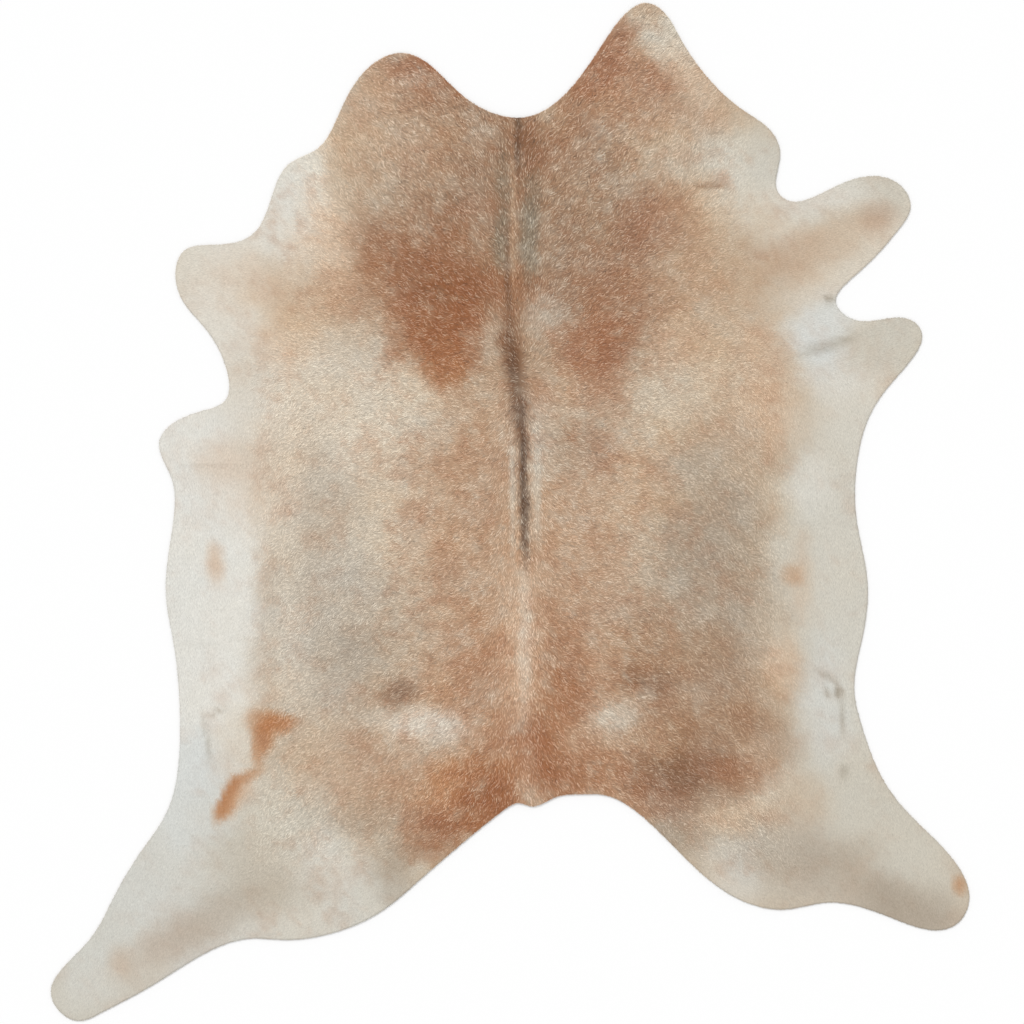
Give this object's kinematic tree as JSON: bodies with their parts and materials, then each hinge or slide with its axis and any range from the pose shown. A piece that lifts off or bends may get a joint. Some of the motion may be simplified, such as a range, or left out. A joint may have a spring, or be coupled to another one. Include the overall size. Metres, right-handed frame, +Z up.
{
  "type": "cowhide rug",
  "caption": "Hair-on cowhide rug in its natural trimmed outline with neck flaps, legs and rump, lying flat with the hair side up.",
  "frame": {"origin": "on the floor under the middle of the hide's length and width", "axes": "+Y from the tail to the neck, +X to the right as the hair side is seen from above with the neck away, +Z up out of the hair side"},
  "size_m": [1.9852, 2.1999, 0.006],
  "materials": {
    "hair_coat": "short, flat-lying roan hair, soft low sheen",
    "flesh_side": "brushed suede underside and raw cut edge"
  },
  "bodies": {
    "root": {"hide": "hair_coat"}
  },
  "joints": []
}
